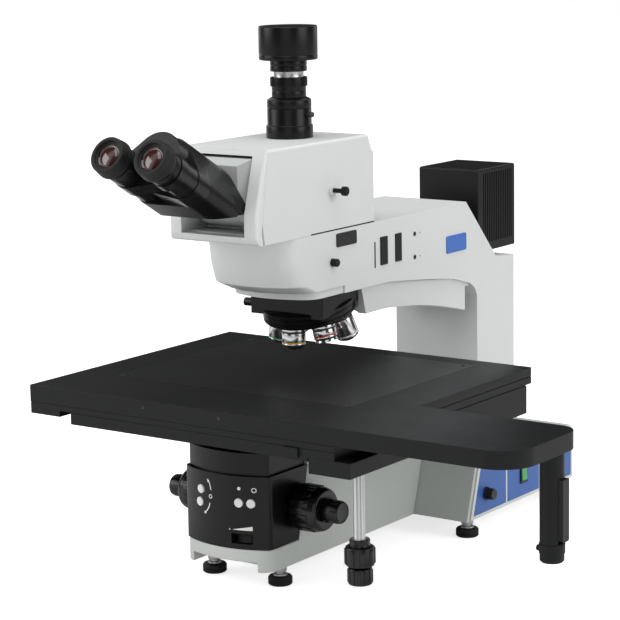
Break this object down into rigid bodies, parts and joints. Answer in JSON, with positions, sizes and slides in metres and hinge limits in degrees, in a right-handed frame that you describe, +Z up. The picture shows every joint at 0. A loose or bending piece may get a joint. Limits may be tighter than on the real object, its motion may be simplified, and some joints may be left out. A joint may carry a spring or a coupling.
{
  "type": "inspection microscope",
  "caption": "Upright inspection microscope with tilting binocular head, revolving nosepiece, photo port and a large sliding stage.",
  "frame": {"origin": "on the table under the optical axis", "axes": "+X to the operator's right, +Y away from the operator, +Z up"},
  "size_m": [0.7191, 0.8032, 0.6894],
  "materials": {
    "white_paint": "fine textured powder coat, light grey white",
    "black_paint": "satin black paint",
    "blue_panel": "satin blue control panels",
    "rubber": "matt black rubber",
    "black_plastic": "matt black plastic",
    "green_plastic": "glossy green rocker",
    "glass": "coated optical glass",
    "stage_black": "black anodised aluminium",
    "knob_black": "black ribbed knob on a chromed shaft",
    "turret_black": "black anodised aluminium with a knurled rim",
    "chrome": "satin chrome",
    "white_plastic": "white push buttons"
  },
  "bodies": {
    "stand": {"base_casting": "white_paint", "rear_housing": "white_paint", "side_panel": "white_paint", "control_panels": "blue_panel", "levelling_feet": "rubber", "power_inlet": "black_plastic", "column_arm": "white_paint", "nose_plate": "white_paint", "arm_fittings": "black_paint", "inner_optics": "glass", "head_housing": "white_paint", "head_bezel": "white_paint", "phototube": "black_paint", "camera_adapter": "chrome", "camera": "black_paint", "lamp_house": "black_paint", "lamp": "glass", "nosepiece_mount": "black_paint", "front_cover": "black_paint", "focus_guide": "black_paint", "rocker_bezel": "black_plastic"},
    "focus": {"focus_carriage": "black_paint", "upper_cover": "black_paint", "stage_base": "black_paint"},
    "stage_y": {"middle_plate": "stage_black", "drive_box": "stage_black"},
    "stage_x": {"top_plate": "stage_black", "stage_insert": "stage_black", "clutch_post": "stage_black"},
    "y_drive": {"y_drive_knob": "knob_black"},
    "x_drive": {"x_drive_knob": "knob_black"},
    "clutch": {"clutch_lever": "black_plastic"},
    "coarse_focus": {"coarse_knobs": "black_plastic"},
    "fine_focus": {"fine_knobs": "black_plastic"},
    "nosepiece": {"turret": "turret_black", "objective_5x": "chrome", "objective_10x": "chrome", "objective_20x": "chrome", "objective_50x": "chrome", "objective_100x": "chrome"},
    "prism": {"prism_slider": "black_plastic"},
    "splitter": {"splitter_rod": "black_plastic", "splitter_prism": "glass"},
    "analyser": {"analyser_rod": "black_plastic"},
    "filter_front": {"filter_slider_front": "black_plastic"},
    "filter_rear": {"filter_slider_rear": "black_plastic"},
    "tilt_head": {"tilt_drum": "white_paint", "binocular_base": "black_paint"},
    "left_eye": {"left_eye_arm": "black_paint"},
    "right_eye": {"right_eye_arm": "black_paint"},
    "left_ocular": {"left_eyepiece": "rubber"},
    "right_ocular": {"right_eyepiece": "rubber"},
    "push_upper": {"button_upper": "white_plastic"},
    "push_lower": {"button_lower": "white_plastic"},
    "push_left": {"button_left": "white_plastic"},
    "push_right": {"button_right": "white_plastic"},
    "dimmer": {"dimmer_wheel": "black_plastic"},
    "lamp_dial": {"lamp_knob": "black_plastic"},
    "rocker": {"power_rocker": "green_plastic"}
  },
  "joints": [
    {"name": "focus_slide", "type": "slide", "parent": "stand", "child": "focus", "axis": [0, 0, 1], "range_m": [-0.003, 0.026]},
    {"name": "stage_y_slide", "type": "slide", "parent": "focus", "child": "stage_y", "axis": [0, 1, 0], "range_m": [-0.19, 0.11]},
    {"name": "stage_x_slide", "type": "slide", "parent": "stage_y", "child": "stage_x", "axis": [1, 0, 0], "range_m": [-0.15, 0.2]},
    {"name": "y_knob_turn", "type": "hinge", "parent": "stage_y", "child": "y_drive", "pos_m": [0.206, -0.157, 0.073], "axis": [0, 0, 1], "range_deg": [-1800, 1045]},
    {"name": "x_knob_turn", "type": "hinge", "parent": "stage_y", "child": "x_drive", "pos_m": [0.206, -0.157, 0.048], "axis": [0, 0, 1], "range_deg": [-1425, 1895]},
    {"name": "clutch_squeeze", "type": "hinge", "parent": "stage_x", "child": "clutch", "pos_m": [0.4445, -0.096, 0.1814], "axis": [0, 1, 0], "range_deg": [0, 3], "stiffness_Nm_per_rad": 0.6},
    {"name": "coarse_turn", "type": "hinge", "parent": "stand", "child": "coarse_focus", "pos_m": [0, -0.0864, 0.098], "axis": [1, 0, 0], "range_deg": [-250, 30]},
    {"name": "fine_turn", "type": "hinge", "parent": "stand", "child": "fine_focus", "pos_m": [0, -0.0864, 0.098], "axis": [1, 0, 0], "continuous": true},
    {"name": "nosepiece_turn", "type": "hinge", "parent": "stand", "child": "nosepiece", "pos_m": [0, 0.03703, 0.31305], "axis": [0, -0.225, 0.9744], "continuous": true},
    {"name": "prism_slide", "type": "slide", "parent": "stand", "child": "prism", "axis": [1, 0, 0], "range_m": [-0.02, 0]},
    {"name": "splitter_slide", "type": "slide", "parent": "stand", "child": "splitter", "axis": [1, 0, 0], "range_m": [-0.012, 0.015]},
    {"name": "analyser_slide", "type": "slide", "parent": "stand", "child": "analyser", "axis": [1, 0, 0], "range_m": [0, 0.015]},
    {"name": "filter_front_slide", "type": "slide", "parent": "stand", "child": "filter_front", "axis": [1, 0, 0], "range_m": [0, 0.025]},
    {"name": "filter_rear_slide", "type": "slide", "parent": "stand", "child": "filter_rear", "axis": [1, 0, 0], "range_m": [0, 0.025]},
    {"name": "head_tilt", "type": "hinge", "parent": "stand", "child": "tilt_head", "pos_m": [0, -0.112, 0.494], "axis": [1, 0, 0], "range_deg": [-5, 25]},
    {"name": "left_eye_turn", "type": "hinge", "parent": "tilt_head", "child": "left_eye", "pos_m": [0, -0.24649, 0.53819], "axis": [0, -0.866, 0.5], "range_deg": [-29.9, 12.5]},
    {"name": "right_eye_turn", "type": "hinge", "parent": "tilt_head", "child": "right_eye", "pos_m": [0, -0.24649, 0.53819], "axis": [0, -0.866, 0.5], "range_deg": [-12.6, 30]},
    {"name": "left_diopter", "type": "hinge", "parent": "left_eye", "child": "left_ocular", "pos_m": [-0.0325, -0.29568, 0.545], "axis": [0, -0.866, 0.5], "range_deg": [-60, 60]},
    {"name": "right_diopter", "type": "hinge", "parent": "right_eye", "child": "right_ocular", "pos_m": [0.0325, -0.29568, 0.545], "axis": [0, -0.866, 0.5], "range_deg": [-60, 60]},
    {"name": "button_upper_press", "type": "slide", "parent": "stand", "child": "push_upper", "axis": [0.2317, 0.9728, 0], "range_m": [0, 0.001], "stiffness_N_per_m": 400},
    {"name": "button_lower_press", "type": "slide", "parent": "stand", "child": "push_lower", "axis": [0.2489, 0.9685, 0], "range_m": [0, 0.001], "stiffness_N_per_m": 400},
    {"name": "button_left_press", "type": "slide", "parent": "stand", "child": "push_left", "axis": [-0.2254, 0.9743, 0], "range_m": [0, 0.001], "stiffness_N_per_m": 400},
    {"name": "button_right_press", "type": "slide", "parent": "stand", "child": "push_right", "axis": [-0.3459, 0.9383, 0], "range_m": [0, 0.001], "stiffness_N_per_m": 400},
    {"name": "dimmer_turn", "type": "hinge", "parent": "stand", "child": "dimmer", "pos_m": [0.0315, -0.1433, 0.0672], "axis": [0, 0, 1], "range_deg": [-135, 135]},
    {"name": "lamp_dial_turn", "type": "hinge", "parent": "stand", "child": "lamp_dial", "pos_m": [0.155, 0.222, 0.056], "axis": [1, 0, 0], "range_deg": [-135, 135]},
    {"name": "rocker_switch", "type": "hinge", "parent": "stand", "child": "rocker", "pos_m": [0.1527, 0.321, 0.064], "axis": [0, 1, 0], "range_deg": [-8, 8]}
  ],
  "couplings": [
    {"joint": "coarse_turn", "follows": "focus_slide", "rad_per_m": -166.67},
    {"joint": "y_knob_turn", "follows": "stage_y_slide", "rad_per_m": 165},
    {"joint": "x_knob_turn", "follows": "stage_x_slide", "rad_per_m": 165},
    {"joint": "right_eye_turn", "follows": "left_eye_turn", "ratio": -1}
  ]
}
